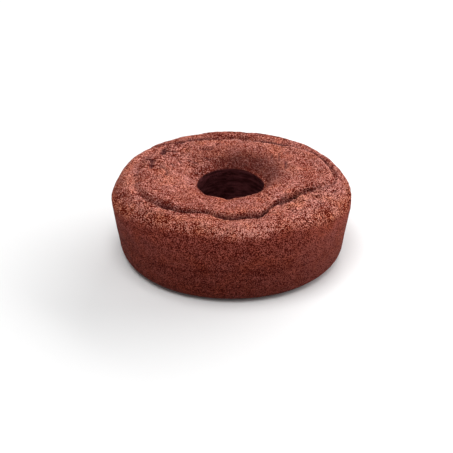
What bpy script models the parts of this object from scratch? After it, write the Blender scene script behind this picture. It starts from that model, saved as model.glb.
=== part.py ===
"""A chocolate ring cake, baked in a tube tin and turned out: one solid that stands on its flat
base with the risen, cracked crust up.

Blender 4.5, metres, +Z up. The origin is the middle of the underside. Angles go
anticlockwise seen from above, from +X, so 270 degrees is the front.
"""

import math

import bpy
import numpy as np
from mathutils import Vector, noise

# Section of the ring: radii from the hole's axis, heights from the underside
BASE_R = 0.0965
BASE_ROUND = 0.012
WIDEST_R = 0.1142
WIDEST_Z = 0.053
SHOULDER_R = 0.098
SHOULDER_Z = 0.0758
SHOULDER_FULLNESS = 1.8         # exponent of the curve: 1 is a straight bevel, 2 an ellipse
LIP_R = 0.078                   # where the top starts to dip towards the hole
LIP_Z = 0.077
RIM_R = 0.034
RIM_Z = 0.0652
FUNNEL_FULLNESS = 3.0           # 1 is a cone; the higher, the narrower and steeper the funnel
TUBE_FOOT_R = 0.0385            # the tin's tube was wider at its foot
FOOT_ROUND = 0.005
SAME_POINT = 1e-6               # points of the section this close are one point

# How far the ring bulges out beyond its section, by angle
OUT_OF_ROUND = ((30, 0.0), (110, 0.0), (200, 0.0), (240, 0.0), (268, -0.0002), (295, 0.0),
                (325, 0.0002), (345, 0.0003))
ROUND_FROM = 0.050
ROUND_TO = 0.100

# By angle, how far the crust stands proud of the smooth side, above the line where it rose
# clear of the tin, and the height of that line
CRUST_PROUD = ((0, 0.0010), (60, 0.0008), (150, 0.0008), (180, 0.0011), (205, 0.0018), (226, 0.0012),
               (260, 0.0005), (300, 0.0005), (322, 0.0013), (345, 0.0012))
MOULD_EDGE = 0.003
MOULD_Z = ((20, 0.056), (110, 0.060), (190, 0.051), (208, 0.056), (223, 0.062), (244, 0.0655),
           (269, 0.068), (297, 0.0685), (318, 0.060), (336, 0.057))

# By angle, the funnel's fullness
FULLNESS = ((5, 7.0), (50, 4.2), (90, 3.4), (135, 3.0), (180, 3.2), (260, 3.6), (320, 6.0))
FUNNEL_FADE = 0.016             # the swells die out over this distance from the rim

# By angle, how far the crust swells up beside the hole, and how far it rolls up outside the
# crack: the radius and reach of each low ridge, and its rise
BROW_R = 0.046
BROW_REACH = 0.008
BROW_RISE = ((0, 0.0006), (90, 0.0), (180, 0.0), (232, 0.0008), (250, 0.0014), (260, 0.0006),
             (266, -0.0014), (272, 0.0004), (284, 0.0014), (305, 0.0014), (330, 0.0012))
ROLL_R = 0.098
ROLL_REACH = 0.006
ROLL_RISE = ((30, 0.0), (120, 0.0), (200, 0.0002), (240, 0.0007), (270, 0.0012), (300, 0.0010),
             (330, 0.0003))

# The crack that ran round the crust as it rose: angle, radius, depth of the split, and how
# far the crust inside it stands above the crust outside it
CRACK = (
    (10, 0.0955, 0.0030, 0.0015),
    (34, 0.0905, 0.0044, 0.0015),
    (50, 0.0815, 0.0050, 0.0015),
    (64, 0.0770, 0.0050, 0.0012),
    (80, 0.0772, 0.0058, 0.0010),
    (98, 0.0785, 0.0058, 0.0010),
    (110, 0.0822, 0.0042, 0.0010),
    (121, 0.0858, 0.0032, 0.0010),
    (133, 0.0880, 0.0014, 0.0004),
    (150, 0.0920, 0.0012, 0.0000),
    (166, 0.0932, 0.0022, 0.0000),
    (181, 0.0908, 0.0022, 0.0002),
    (197, 0.0920, 0.0022, 0.0010),
    (207, 0.0935, 0.0026, 0.0020),
    (215, 0.0920, 0.0030, 0.0032),
    (225, 0.0862, 0.0030, 0.0040),
    (238, 0.0840, 0.0022, 0.0032),
    (250, 0.0788, 0.0024, 0.0024),
    (257, 0.0782, 0.0014, 0.0030),
    (263, 0.0824, 0.0038, 0.0056),
    (269, 0.0843, 0.0034, 0.0056),
    (276, 0.0832, 0.0034, 0.0056),
    (284, 0.0818, 0.0030, 0.0050),
    (292, 0.0784, 0.0026, 0.0040),
    (298, 0.0742, 0.0020, 0.0024),
    (305, 0.0704, 0.0030, 0.0034),
    (313, 0.0706, 0.0036, 0.0050),
    (320, 0.0728, 0.0034, 0.0055),
    (332, 0.0768, 0.0034, 0.0028),
    (342, 0.0850, 0.0026, 0.0022),
    (354, 0.0942, 0.0030, 0.0015),
)

# Width of the crack's inner face and of the gap outside it, by angle
CRACK_FACE = ((10, 0.0020), (60, 0.0016), (110, 0.0014), (145, 0.0040), (172, 0.0055), (200, 0.0060),
              (225, 0.0058), (238, 0.0034), (250, 0.0026), (257, 0.0026), (263, 0.0034), (276, 0.0034),
              (290, 0.0026), (299, 0.0020), (312, 0.0048), (325, 0.0046), (336, 0.0050), (350, 0.0026))
CRACK_GAP = ((10, 0.0030), (60, 0.0028), (73, 0.0040), (80, 0.0095), (100, 0.0098), (107, 0.0045),
             (130, 0.0030), (165, 0.0050), (195, 0.0050), (225, 0.0014), (265, 0.0012), (300, 0.0012),
             (330, 0.0018))
GAP_WIDE = 0.004                # gaps wider than this have a flatter bottom and a steeper outer wall

# The rolled edge of the crust just inside the crack, and a broad low ridge farther in
CRACK_ROLL = ((20, 0.0010), (60, 0.0013), (90, 0.0015), (120, 0.0012), (150, 0.0003), (200, 0.0005),
              (240, 0.0006), (300, 0.0006), (340, 0.0010))
RIDGE_IN = 0.007
RIDGE_REACH = 0.0055
RIDGE_RISE = ((0, 0.0022), (25, 0.0018), (50, 0.0008), (110, 0.0002), (170, 0.0), (230, 0.0),
              (290, 0.0), (325, 0.0006), (345, 0.0016))

RISE_SHARE = 0.4                # part of the step that lifts the inside; the rest sinks the outside
RISE_REACH = 0.014
FALL_REACH = 0.013

# Unevenness: the size of the swells and their height
CRUST_SWELLS = ((0.035, 0.0012), (0.011, 0.0006))
SIDE_SWELLS = ((0.030, 0.0004),)
BASE_FADE = 0.012               # height over which the unevenness dies out above the flat base

# Mesh: columns round the ring, and rows along its section
COLUMNS = 96
INNER_ROWS = 12                 # from the rim to the crack
CRACK_ROWS = (-0.0062, -0.0042, -0.0027, -0.0014, -0.0004, 0.0006, 0.0020, 0.0044)
OUTER_ROWS = 12                 # from the crack to the widest level
SIDE_ROWS = 6
ROUND_ROWS = 4
FOOT_ROWS = 2
TUBE_ROWS = 5

CRUST_COLOUR = (0.25, 0.085, 0.06, 1.0)
CRUST_ROUGHNESS = 0.85
SHARP_EDGE = math.radians(50)


def clear_scene():
    """Remove the objects that a new file starts with."""
    for thing in list(bpy.data.objects):
        bpy.data.objects.remove(thing, do_unlink=True)


def collection(name):
    """Make a collection and link it to the scene."""
    group = bpy.data.collections.new(name)
    bpy.context.scene.collection.children.link(group)
    return group


def crust_material():
    """Dull, dark reddish-brown sponge crust."""
    material = bpy.data.materials.new("chocolate_crust")
    material.use_nodes = True
    shader = material.node_tree.nodes["Principled BSDF"]
    shader.inputs["Base Color"].default_value = CRUST_COLOUR
    shader.inputs["Roughness"].default_value = CRUST_ROUGHNESS
    shader.inputs["Metallic"].default_value = 0.0
    material.diffuse_color = CRUST_COLOUR
    return material


def ease(t):
    """Smooth step from 0 to 1."""
    t = np.clip(t, 0.0, 1.0)
    return t * t * (3 - 2 * t)


def round_curve(angles, values, degrees):
    """Values at the given degrees on a smooth closed curve through knots round the ring."""
    knots = np.array([angles[-1] - 360, *angles, angles[0] + 360, angles[1] + 360])
    levels = np.array([values[-1], *values, values[0], values[1]])
    slopes = np.gradient(levels, knots)
    degrees = (degrees - knots[1]) % 360 + knots[1]
    k = np.searchsorted(knots, degrees, side="right") - 1
    span = knots[k + 1] - knots[k]
    t = (degrees - knots[k]) / span
    level = levels[k] * (1 + 2 * t) * (1 - t) ** 2 + levels[k + 1] * t**2 * (3 - 2 * t)
    return level + span * t * (1 - t) * (slopes[k] * (1 - t) - slopes[k + 1] * t)


def quarter(centre, radii, start, fullness=2.0, count=60):
    """A quarter of an ellipse, or of a fuller or flatter curve, clockwise from start degrees."""
    turn = math.radians(start) - np.linspace(0, math.pi / 2, count)
    across = np.cos(turn)
    up = np.sin(turn)
    radius = centre[0] + radii[0] * np.sign(across) * np.abs(across) ** (2 / fullness)
    height = centre[1] + radii[1] * np.sign(up) * np.abs(up) ** (2 / fullness)
    return np.stack([radius, height], axis=1)


def funnel_height(radius, fullness):
    """Height of the top where it dips towards the hole."""
    dip = np.clip((LIP_R - radius) / (LIP_R - RIM_R), 0, 1)
    return LIP_Z - (LIP_Z - RIM_Z) * dip**fullness


def funnel(count=40):
    """From the hole's rim up to the lip, where the crust curled down round the tin's tube."""
    radius = np.linspace(RIM_R, LIP_R, count)
    return np.stack([radius, funnel_height(radius, FUNNEL_FULLNESS)], axis=1)


def crown(count=40):
    """The nearly level top, from the lip out to the shoulder."""
    t = np.linspace(0, 1, count)
    radius = LIP_R + (SHOULDER_R - LIP_R) * t
    height = LIP_Z + (SHOULDER_Z - LIP_Z) * t**2
    return np.stack([radius, height], axis=1)


def section():
    """The ring's outline from the rim out over the top, down, under and up the hole again.

    Returns its points, their distances along it, and the distance at the end of each stretch.
    """
    shoulder_size = (WIDEST_R - SHOULDER_R, SHOULDER_Z - WIDEST_Z)
    stretches = {
        "lip": funnel(),
        "shoulder": crown(),
        "widest": quarter((SHOULDER_R, WIDEST_Z), shoulder_size, 90, SHOULDER_FULLNESS),
        "side": np.array([[BASE_R + BASE_ROUND, BASE_ROUND]]),
        "base": quarter((BASE_R, BASE_ROUND), (BASE_ROUND, BASE_ROUND), 0),
        "underside": np.array([[TUBE_FOOT_R + FOOT_ROUND, 0.0]]),
        "foot": quarter((TUBE_FOOT_R + FOOT_ROUND, FOOT_ROUND), (FOOT_ROUND, FOOT_ROUND), 270),
        "rim": np.array([[RIM_R, RIM_Z]]),
    }
    outline = np.concatenate(list(stretches.values()))
    steps = np.hypot(*np.diff(outline, axis=0).T)
    along = np.concatenate([[0.0], np.cumsum(steps)])
    ends = np.cumsum([len(points) for points in stretches.values()]) - 1
    marks = dict(zip(stretches, along[ends]))
    new = np.diff(along, prepend=-1.0) > SAME_POINT
    return outline[new], along[new], marks


def row_places(crack, marks):
    """Where each row of the mesh lies along the section, given where the crack lies."""
    crack = np.asarray(crack, dtype=float)
    level = np.zeros_like(crack)

    def stretch(start, end, rows):
        return list(np.linspace(start + level, end + level, rows, endpoint=False))

    first = crack + CRACK_ROWS[0]
    last = crack + CRACK_ROWS[-1]
    rows = stretch(0.0, first, INNER_ROWS)
    rows += [crack + offset for offset in CRACK_ROWS[:-1]]
    rows += stretch(last, marks["widest"], OUTER_ROWS)
    rows += stretch(marks["widest"], marks["side"], SIDE_ROWS)
    rows += stretch(marks["side"], marks["base"], ROUND_ROWS)
    rows += stretch(marks["base"], marks["underside"], 1)
    rows += stretch(marks["underside"], marks["foot"], FOOT_ROWS)
    rows += stretch(marks["foot"], marks["rim"], TUBE_ROWS)
    return np.stack(rows)


def swell(points, sizes):
    """Smooth unevenness at each point: a sum of noises, given as (size, height) pairs."""
    total = np.zeros(len(points))
    for size, height in sizes:
        total += height * np.array([noise.noise(Vector(point) / size) for point in points])
    return total


def crack_sizes(degrees):
    """The crack's sizes at the given angles, by name."""
    angles, _, depths, steps = zip(*CRACK)
    sizes = {"depth": round_curve(angles, depths, degrees), "step": round_curve(angles, steps, degrees)}
    tables = {"face": CRACK_FACE, "gap": CRACK_GAP, "roll": CRACK_ROLL, "ridge": RIDGE_RISE}
    for name, table in tables.items():
        sizes[name] = round_curve(*zip(*table), degrees)
    return sizes


def crack_relief(offset, sizes):
    """Height that the crack adds to the crust at an offset from it, positive outwards."""
    depth, step, face, gap = (sizes[name] for name in ("depth", "step", "face", "gap"))
    reach = np.where(offset < 0, face, gap)
    power = np.where(offset < 0, 1.4, 2.2 + 1.8 * ease(gap / GAP_WIDE - 1))
    split = -depth * np.exp(-((np.abs(offset) / reach) ** power))
    split += sizes["roll"] * np.exp(-(((offset + 1.5 * face) / face) ** 2))
    split += sizes["ridge"] * np.exp(-(((offset + RIDGE_IN) / RIDGE_REACH) ** 2))
    rise = RISE_SHARE * step * np.exp(np.minimum(offset, 0) / RISE_REACH)
    fall = -(1 - RISE_SHARE) * step * np.exp(-np.maximum(offset, 0) / FALL_REACH)
    outside = ease((offset + face) / (face + 0.0003))
    return split + rise * (1 - outside) + fall * outside


def top_relief(offset, radius, degrees):
    """How far the risen top stands above the section, at an offset from the crack."""
    roll = round_curve(*zip(*ROLL_RISE), degrees) * np.exp(-(((radius - ROLL_R) / ROLL_REACH) ** 2))
    return crack_relief(offset, crack_sizes(degrees)) + roll


def funnel_relief(radius, degrees):
    """How far the funnel's wall stands above the section's, as it is steeper in places."""
    fullness = round_curve(*zip(*FULLNESS), degrees)
    brow = round_curve(*zip(*BROW_RISE), degrees) * np.exp(-(((radius - BROW_R) / BROW_REACH) ** 2))
    return funnel_height(radius, fullness) - funnel_height(radius, FUNNEL_FULLNESS) + brow


def risen_points(row, degrees, outline, along, marks):
    """The finished surface's points, for vertices on the given rows and at the given angles."""
    top = along <= marks["widest"]
    crack_angles, crack_radii, _, _ = zip(*CRACK)
    crack_r = round_curve(crack_angles, crack_radii, degrees)
    crack_at = np.interp(crack_r, outline[top, 0], along[top])
    places = row_places(crack_at, marks)[row, np.arange(len(row))]

    radius = np.interp(places, along, outline[:, 0])
    roundness = ease((radius - ROUND_FROM) / (ROUND_TO - ROUND_FROM))
    radius += round_curve(*zip(*OUT_OF_ROUND), degrees) * roundness
    height = np.interp(places, along, outline[:, 1])
    slope = np.gradient(outline, along, axis=0)
    normal_r = -np.interp(places, along, slope[:, 1])
    normal_z = np.interp(places, along, slope[:, 0])

    mould_z = round_curve(*zip(*MOULD_Z), degrees)
    on_outside = places < marks["side"]
    crust = ease((height - mould_z) / MOULD_EDGE) * on_outside
    crust[on_outside & (radius <= SHOULDER_R)] = 1.0
    on_top = ease(2 * normal_z) * (places < marks["widest"])

    turn = np.radians(degrees)
    points = np.stack([radius * np.cos(turn), radius * np.sin(turn), height], axis=1)
    bulge = round_curve(*zip(*CRUST_PROUD), degrees) * crust * (1 - on_top)
    bulge += swell(points, CRUST_SWELLS) * crust * ease(places / FUNNEL_FADE)
    bulge += swell(points, SIDE_SWELLS) * (1 - crust) * ease(height / BASE_FADE)
    radius += bulge * normal_r
    height += bulge * normal_z
    height += on_top * top_relief(places - crack_at, radius, degrees)
    height += (places < marks["lip"]) * funnel_relief(radius, degrees)
    return np.stack([radius * np.cos(turn), radius * np.sin(turn), height], axis=1)


def turned_ring(group, outline, along, marks):
    """The even ring that a round tin gives: a closed section turned about the hole's axis."""
    mean_crack = float(np.mean([radius for _, radius, _, _ in CRACK]))
    top = along <= marks["widest"]
    crack_at = np.interp(mean_crack, outline[top, 0], along[top])
    places = row_places(crack_at, marks)
    points = [(np.interp(p, along, outline[:, 0]), 0.0, np.interp(p, along, outline[:, 1])) for p in places]
    rows = len(points)
    mesh = bpy.data.meshes.new("cake")
    mesh.from_pydata(points, [(i, (i + 1) % rows) for i in range(rows)], [])
    row = mesh.attributes.new("row", "INT", "POINT")
    row.data.foreach_set("value", range(rows))
    cake = bpy.data.objects.new("cake", mesh)
    group.objects.link(cake)
    screw = cake.modifiers.new("turn", "SCREW")
    screw.axis = "Z"
    screw.angle = math.tau
    screw.steps = COLUMNS
    screw.render_steps = COLUMNS
    screw.merge_threshold = 0.0001
    return cake


def let_rise(cake, outline, along, marks):
    """Apply the turning, then move every vertex to the risen and cracked surface."""
    depsgraph = bpy.context.evaluated_depsgraph_get()
    mesh = bpy.data.meshes.new_from_object(cake.evaluated_get(depsgraph))
    cake.modifiers.clear()
    cake.data = mesh
    count = len(mesh.vertices)
    flat = np.empty(3 * count)
    mesh.vertices.foreach_get("co", flat)
    even = flat.reshape(count, 3)
    row = np.empty(count, dtype=np.int32)
    mesh.attributes["row"].data.foreach_get("value", row)
    degrees = np.degrees(np.arctan2(even[:, 1], even[:, 0])) % 360
    mesh.vertices.foreach_set("co", risen_points(row, degrees, outline, along, marks).ravel())
    mesh.update()
    mesh.shade_smooth()
    mesh.set_sharp_from_angle(angle=SHARP_EDGE)


def main():
    clear_scene()
    group = collection("chocolate_ring_cake")
    outline, along, marks = section()
    cake = turned_ring(group, outline, along, marks)
    let_rise(cake, outline, along, marks)
    cake.data.materials.append(crust_material())


main()
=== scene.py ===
"""Looks of a chocolate ring cake: one fine mesh of the risen, cracked crust and the smooth baked
side, with procedural materials, on a pale studio floor.

Metres, +Z up. The origin is the middle of the underside. Angles are in degrees, anticlockwise
seen from above, from +X, so 270 is the front, where the camera stands. A table below that
starts with angles gives values at those angles, and a smooth curve gives them in between.
"""

import math

import bpy
import numpy as np
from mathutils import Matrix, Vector, noise


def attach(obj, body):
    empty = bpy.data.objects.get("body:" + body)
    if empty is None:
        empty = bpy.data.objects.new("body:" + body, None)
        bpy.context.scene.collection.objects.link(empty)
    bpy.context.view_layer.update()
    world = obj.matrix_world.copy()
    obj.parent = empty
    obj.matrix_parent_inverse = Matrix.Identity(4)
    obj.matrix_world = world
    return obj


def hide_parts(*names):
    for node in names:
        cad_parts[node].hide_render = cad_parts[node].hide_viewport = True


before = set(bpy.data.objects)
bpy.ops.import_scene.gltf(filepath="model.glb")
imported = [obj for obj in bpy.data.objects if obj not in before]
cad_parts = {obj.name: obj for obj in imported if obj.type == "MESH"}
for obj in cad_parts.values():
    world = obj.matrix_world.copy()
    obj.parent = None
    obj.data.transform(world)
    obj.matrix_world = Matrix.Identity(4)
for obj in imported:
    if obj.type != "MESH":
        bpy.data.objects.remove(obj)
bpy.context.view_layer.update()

# Camera: fitted to the outline of the cake
CAMERA_ELEVATION = math.radians(29.5)
CAMERA_DISTANCE = 1.0
CAMERA_TARGET = Vector((-0.0044, 0.0, 0.0190))
FOCAL_PIXELS = 1020.8
FRAME_PIXELS = 453
SENSOR_MM = 36.0

# Section of the ring: radii from the hole's axis, heights from the underside
BASE_R = 0.0965
BASE_ROUND = 0.012
WIDEST_R = 0.1142
WIDEST_Z = 0.053
SHOULDER_R = 0.098
SHOULDER_Z = 0.0758
SHOULDER_FULLNESS = 1.8         # exponent of the curve: 1 is a straight bevel, 2 an ellipse
LIP_R = 0.078                   # where the top starts to dip towards the hole
LIP_Z = 0.077
RIM_R = 0.034
RIM_Z = 0.0652
FUNNEL_FULLNESS = 3.0           # 1 is a cone; the higher, the narrower and steeper the funnel
TUBE_FOOT_R = 0.0385            # the tin's tube was wider at its foot
FOOT_ROUND = 0.005
SAME_POINT = 1e-6               # points of the section this close are one point

# How far the ring bulges out beyond its section, more and more between two radii
OUT_OF_ROUND = (
    (30, 0.0), (110, 0.0), (200, 0.0), (240, 0.0), (268, -0.0008), (295, 0.0), (325, 0.0008),
    (345, 0.0010),
)
ROUND_FROM = 0.050
ROUND_TO = 0.100

# The crust stands proud of the smooth side above the line where it rose clear of the tin
CRUST_PROUD = (
    (0, 0.0010), (60, 0.0008), (150, 0.0008), (180, 0.0011), (205, 0.0018), (226, 0.0012), (260, 0.0005),
    (300, 0.0005), (322, 0.0013), (345, 0.0012),
)
MOULD_Z = (
    (20, 0.056), (110, 0.060), (190, 0.053), (208, 0.060), (223, 0.065), (244, 0.0682), (254, 0.0692),
    (269, 0.0678), (284, 0.0664), (293, 0.0694), (302, 0.0684), (318, 0.063), (336, 0.059),
)
MOULD_WANDER = (0.008, 0.0015)  # size and height of the line's own unevenness
MOULD_EDGE = 0.003              # height over which the crust's form gives way to the side's
MOULD_FADE = 0.007              # height over which the crust's colour gives way to the side's
MOULD_FADE_LOW = 0.3            # part of that height which lies below the line

# The funnel's fullness, and how far the crust swells up beside the hole
FULLNESS = ((5, 7.0), (50, 4.2), (90, 3.4), (135, 3.0), (180, 3.2), (260, 3.6), (320, 6.0))
BROW_R = 0.046
BROW_REACH = 0.008
BROW_RISE = (
    (0, 0.0006), (90, 0.0), (180, 0.0), (232, 0.0008), (250, 0.0014), (260, 0.0006), (266, -0.0014),
    (272, 0.0004), (284, 0.0014), (305, 0.0014), (330, 0.0012),
)

# How far the rim is pushed in, and how far that goes up the funnel and down the hole's wall
RIM_IN = (
    (0, 0.0022), (20, 0.0030), (36, 0.0031), (52, 0.0023), (66, 0.0010), (82, 0.0), (115, 0.0),
    (140, 0.0012), (160, 0.0016), (180, 0.0014), (205, 0.0016), (230, 0.0012), (250, 0.0003),
    (290, 0.0002), (305, 0.0010), (322, 0.0016), (342, 0.0022),
)
RIM_IN_REACH = (0.007, 0.016)
RIM_BEAD = 0.0005
RIM_BEAD_REACH = 0.0010

# A low ridge of the crust outside the crack
ROLL_R = 0.098
ROLL_REACH = 0.006
ROLL_RISE = (
    (30, 0.0), (120, 0.0), (200, 0.0002), (240, 0.0007), (270, 0.0012), (300, 0.0010), (330, 0.0003),
)

# The crack that ran round the crust as it rose: angle, radius, depth of the split, and how
# far the crust inside it stands above the crust outside it
CRACK = (
    (10, 0.0950, 0.0024, 0.0015),
    (34, 0.0905, 0.0044, 0.0015),
    (50, 0.0815, 0.0050, 0.0015),
    (64, 0.0770, 0.0050, 0.0012),
    (80, 0.0772, 0.0058, 0.0010),
    (98, 0.0785, 0.0058, 0.0010),
    (110, 0.0822, 0.0042, 0.0010),
    (121, 0.0858, 0.0032, 0.0010),
    (133, 0.0880, 0.0014, 0.0004),
    (150, 0.0920, 0.0012, 0.0000),
    (166, 0.0932, 0.0014, 0.0000),
    (181, 0.0908, 0.0014, 0.0002),
    (197, 0.0912, 0.0013, 0.0010),
    (207, 0.0914, 0.0015, 0.0020),
    (215, 0.0898, 0.0019, 0.0032),
    (225, 0.0872, 0.0030, 0.0040),
    (238, 0.0848, 0.0022, 0.0032),
    (250, 0.0794, 0.0024, 0.0024),
    (257, 0.0782, 0.0014, 0.0030),
    (263, 0.0824, 0.0038, 0.0056),
    (269, 0.0843, 0.0034, 0.0056),
    (276, 0.0834, 0.0034, 0.0056),
    (283, 0.0840, 0.0030, 0.0050),
    (288, 0.0844, 0.0028, 0.0044),
    (292, 0.0808, 0.0024, 0.0036),
    (296, 0.0768, 0.0020, 0.0026),
    (300, 0.0732, 0.0022, 0.0026),
    (306, 0.0702, 0.0030, 0.0036),
    (313, 0.0696, 0.0036, 0.0050),
    (320, 0.0704, 0.0034, 0.0055),
    (332, 0.0744, 0.0034, 0.0030),
    (342, 0.0850, 0.0022, 0.0022),
    (354, 0.0955, 0.0020, 0.0015),
)
CRACK_COLUMNS = {"depth": 2, "step": 3}

# How far the split reaches inwards, its face, and outwards, its gap. The higher the power, the
# flatter the bottom and the steeper the wall.
CRACK_FACE = (
    (10, 0.0020), (60, 0.0016), (110, 0.0014), (145, 0.0040), (172, 0.0050), (200, 0.0046), (225, 0.0054),
    (238, 0.0034), (250, 0.0026), (257, 0.0026), (263, 0.0034), (276, 0.0034), (286, 0.0026),
    (293, 0.0015), (300, 0.0014), (310, 0.0038), (325, 0.0040), (336, 0.0050), (350, 0.0026),
)
CRACK_GAP = (
    (10, 0.0030), (60, 0.0028), (73, 0.0040), (80, 0.0095), (100, 0.0098), (107, 0.0045), (130, 0.0030),
    (165, 0.0050), (195, 0.0050), (225, 0.0014), (265, 0.0012), (300, 0.0012), (330, 0.0018),
)
FACE_POWER = 1.4
GAP_POWER = 2.2
GAP_POWER_WIDE = 1.8            # added by the time the gap is twice as wide as GAP_WIDE
GAP_WIDE = 0.004
STEP_END = 0.0003               # the step starts with the face, and ends this far outside

# The narrow slot at the bottom of the crack: how strong it is, and its size
CRACK_SLOT = (
    (20, 0.2), (60, 0.5), (110, 0.6), (150, 0.0), (205, 0.0), (222, 0.5), (232, 1.0), (250, 1.0),
    (257, 0.4), (262, 1.2), (270, 0.8), (285, 0.5), (294, 0.9), (306, 0.6), (320, 0.5), (332, 0.7),
    (345, 0.0), (355, 0.0),
)
SLOT_DEPTH = 0.0024
SLOT_REACH = 0.0010
SLOT_PATCH = 0.012
SLOT_MEAN = 0.9

# The rolled edge of the crust just inside the crack, and a broad low ridge further in
CRACK_ROLL = (
    (20, 0.0010), (60, 0.0013), (90, 0.0015), (120, 0.0012), (150, 0.0003), (200, 0.0005), (240, 0.0006),
    (300, 0.0006), (340, 0.0010),
)
ROLL_FACES_IN = 1.5             # how many widths of the inner face lie between crack and roll
RIDGE_IN = 0.007
RIDGE_REACH = 0.0055
RIDGE_RISE = (
    (0, 0.0022), (25, 0.0018), (50, 0.0008), (110, 0.0002), (170, 0.0), (230, 0.0), (290, 0.0),
    (325, 0.0006), (345, 0.0016),
)
RISE_SHARE = 0.4                # part of the step that lifts the inside; the rest sinks the outside
RISE_REACH = 0.014
FALL_REACH = 0.013
CRACK_WIGGLE = ((0.008, 0.0010), (0.0028, 0.0006))

# Short cracks and creases: points along each, seen from above, half its width and its depth
NICKS = (
    (((-0.0675, 0.045), (-0.0672, 0.0575), (-0.063, 0.0605)), 0.0019, 0.0028),
    (((-0.0660, 0.0520), (-0.0545, 0.0490)), 0.0012, 0.0014),
    (((-0.0833, 0.0335), (-0.0765, 0.0310), (-0.0770, 0.0140)), 0.0016, 0.0014),
    (((-0.0700, 0.0160), (-0.0640, 0.0130), (-0.0610, 0.0060), (-0.0622, -0.0020)), 0.0011, 0.0011),
    (((-0.0450, 0.0745), (-0.0548, 0.0735), (-0.0650, 0.0700), (-0.0736, 0.0660)), 0.0014, 0.0018),
    (((-0.0300, 0.0560), (-0.0180, 0.0550)), 0.0009, 0.0010),
    (((-0.0250, 0.0415), (-0.0215, 0.0400)), 0.0010, 0.0012),
    (((-0.0575, 0.0230), (-0.0560, 0.0190)), 0.0010, 0.0012),
    (((-0.0500, 0.0300), (-0.0495, 0.0270)), 0.0011, 0.0012),
    (((-0.0420, 0.0340), (-0.0330, 0.0320)), 0.0009, 0.0010),
    (((-0.0140, 0.0675), (-0.0100, 0.0678)), 0.0011, 0.0012),
    (((-0.0222, 0.0600), (-0.0184, 0.0600)), 0.0009, 0.0010),
    (((0.0403, 0.0430), (0.0403, 0.0370)), 0.0009, 0.0011),
    (((0.0473, 0.0450), (0.0470, 0.0290)), 0.0009, 0.0011),
    (((0.0532, 0.0270), (0.0525, 0.0115)), 0.0010, 0.0012),
)
NICK_FULL = 0.0014              # depth from which a short crack is as dark as it gets
NICK_WIGGLE = (0.004, 0.0010)

# Unevenness: the size of the swells and their height
CRUST_SWELLS = ((0.035, 0.0012), (0.011, 0.0006))
SIDE_SWELLS = ((0.030, 0.0004),)
FUNNEL_FADE = 0.016
BASE_FADE = 0.012               # height over which the unevenness dies out above the flat base
UNDER_FADE = 0.01               # distance over which the crumb dies out round the base's edge
UNDER_END = 1.5                 # where it is gone, in such distances from the foot of the side

# How coarse the crumb is inside and outside the crack, how much coarser beside it and how far
# from it, with coarser and finer patches
COARSE_INSIDE = (
    (20, 0.45), (60, 0.45), (100, 0.50), (135, 0.95), (170, 1.15), (195, 0.95), (225, 0.60), (270, 0.50),
    (320, 0.65),
)
COARSE_OUTSIDE = (
    (10, 1.00), (60, 0.70), (100, 0.80), (160, 0.75), (190, 0.90), (205, 1.25), (240, 1.10), (270, 0.95),
    (300, 1.05), (318, 1.40), (332, 1.75), (346, 1.60),
)
CRACK_CRUMB = (
    (20, 0.5), (60, 0.4), (110, 0.3), (180, 0.3), (225, 0.1), (280, 0.1), (300, 0.5), (335, 0.7),
)
CRACK_ROUGH = (
    (20, 0.007), (60, 0.004), (110, 0.003), (180, 0.006), (225, 0.0055), (270, 0.003), (300, 0.006),
    (335, 0.010),
)
CRACK_BLEND = 0.004             # inside gives way to outside over this distance on both sides
ROUGH_PATCH = 0.022
PATCH_EDGE = 0.9
PATCH_COARSE = (0.75, 0.5)      # share of the coarseness in a fine patch, and more in a coarse one

# Crumb: lumps with creases between them, finer unevenness, and pits
CRUMB_SIZES = (0.0036, 0.0021)
CRUMB_HEIGHTS = (0.00024, 0.00022)
CRUMB_SWELLS = ((0.0085, 0.0003), (0.0042, 0.00016))
CREASE_WIDTH = 0.25             # as a part of the lump's size
CREASE_HEIGHT = 0.4             # height left at the bottom of a crease, as a part of the lump's
RELIEF_GAIN = 2.0
RELIEF_INSIDE = 0.85
RELIEF_LESS_OUTSIDE = 0.30
SIDE_CRUMB = 0.22               # the side's relief as a part of the crust's
PIT_SIZE = 0.0046
PIT_SHARE = 0.30                # part of the places that have a pit
PIT_SPREAD = 7.3                # sets neighbouring places apart, so that each draws its own chance
PIT_REACH = 0.24                # a pit's radius as a part of the pit size
PIT_DEPTH = 0.0008

# Plates of crust with fine cracks between them, where the crumb is coarse
PLATE_SIZE = 0.0062
PLATE_WANDER = (0.0042, 0.0020)
FISSURE_REACH = 0.00055
FISSURE_DEPTH = 0.0006
FISSURE_PATCH = 0.013
FISSURE_SHARE = (0.42, 2.4)     # their usual strength, and how sharply the cracked patches begin
FISSURE_COARSE = (1.1, -0.45)   # how the fine cracks deepen with the crumb's coarseness

# Mesh: columns round the ring, and rows along its section
COLUMNS = 750
RIM_ROWS = 4                    # closely spaced, from the rim inwards
RIM_SPACE = 0.0020
INNER_ROWS = 37                 # from there to the crack
CRACK_ROWS = (-0.0060, -0.0050, -0.0041, -0.0033, -0.0026, -0.0020, -0.0015, -0.0010, -0.0006, -0.0002,
              0.0002, 0.0006, 0.0010, 0.0015, 0.0022, 0.0032, 0.0042)
OUTER_ROWS = 36                 # from the crack to the widest level
SIDE_ROWS = 21
ROUND_ROWS = 7
UNDERSIDE_ROWS = 2
FOOT_ROWS = 2
TUBE_ROWS = 5
TUBE_RIM_ROWS = 3               # closely spaced, just below the rim

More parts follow.
